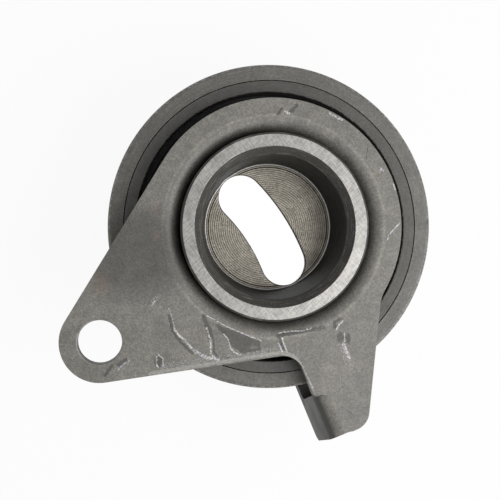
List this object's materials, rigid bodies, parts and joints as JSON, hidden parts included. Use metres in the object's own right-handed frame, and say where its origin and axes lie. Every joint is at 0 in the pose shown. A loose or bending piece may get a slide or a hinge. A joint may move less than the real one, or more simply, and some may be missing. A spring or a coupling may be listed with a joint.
{
  "type": "timing belt tensioner pulley",
  "caption": "Smooth belt tensioner pulley on a sealed ball bearing, carried by a stamped arm with a pivot hole, a slotted hub and a folded spring tab.",
  "frame": {"origin": "on the floor, below the middle of the box round the whole part, which lies on the pulley's lower face", "axes": "+Z along the pulley's axis towards the arm and the hub's ground face; +X to the right and +Y up as the part is seen from the arm's side with the pivot hole at the lower left"},
  "size_m": [0.0708, 0.0746, 0.0358],
  "materials": {
    "arm_steel": "dark phosphated stamped steel with a thin film of oil",
    "hub_steel": "turned steel, ground on its upper face",
    "bearing_steel": "ground bearing steel",
    "pulley_steel": "dark phosphated steel, satin",
    "seal_rubber": "moulded, matt",
    "cage_plastic": "moulded nylon",
    "ball_steel": "polished"
  },
  "bodies": {
    "arm": {"arm_plate": "arm_steel", "hub": "hub_steel", "inner_ring": "bearing_steel"},
    "pulley": {"outer_ring": "pulley_steel", "pulley_shell": "pulley_steel", "seal_upper": "seal_rubber", "seal_lower": "seal_rubber"},
    "cage": {"cage": "cage_plastic", "ball_01": "ball_steel", "ball_02": "ball_steel", "ball_03": "ball_steel", "ball_04": "ball_steel", "ball_05": "ball_steel", "ball_06": "ball_steel", "ball_07": "ball_steel", "ball_08": "ball_steel", "ball_09": "ball_steel", "ball_10": "ball_steel", "ball_11": "ball_steel", "ball_12": "ball_steel", "ball_13": "ball_steel", "ball_14": "ball_steel"}
  },
  "joints": [
    {"name": "pulley_spin", "type": "hinge", "parent": "arm", "child": "pulley", "pos_m": [0.00433, 0.00622, 0.014], "axis": [0, 0, 1], "continuous": true},
    {"name": "cage_spin", "type": "hinge", "parent": "arm", "child": "cage", "pos_m": [0.00433, 0.00622, 0.014], "axis": [0, 0, 1], "continuous": true}
  ],
  "couplings": [
    {"joint": "cage_spin", "follows": "pulley_spin", "ratio": 0.5695}
  ]
}
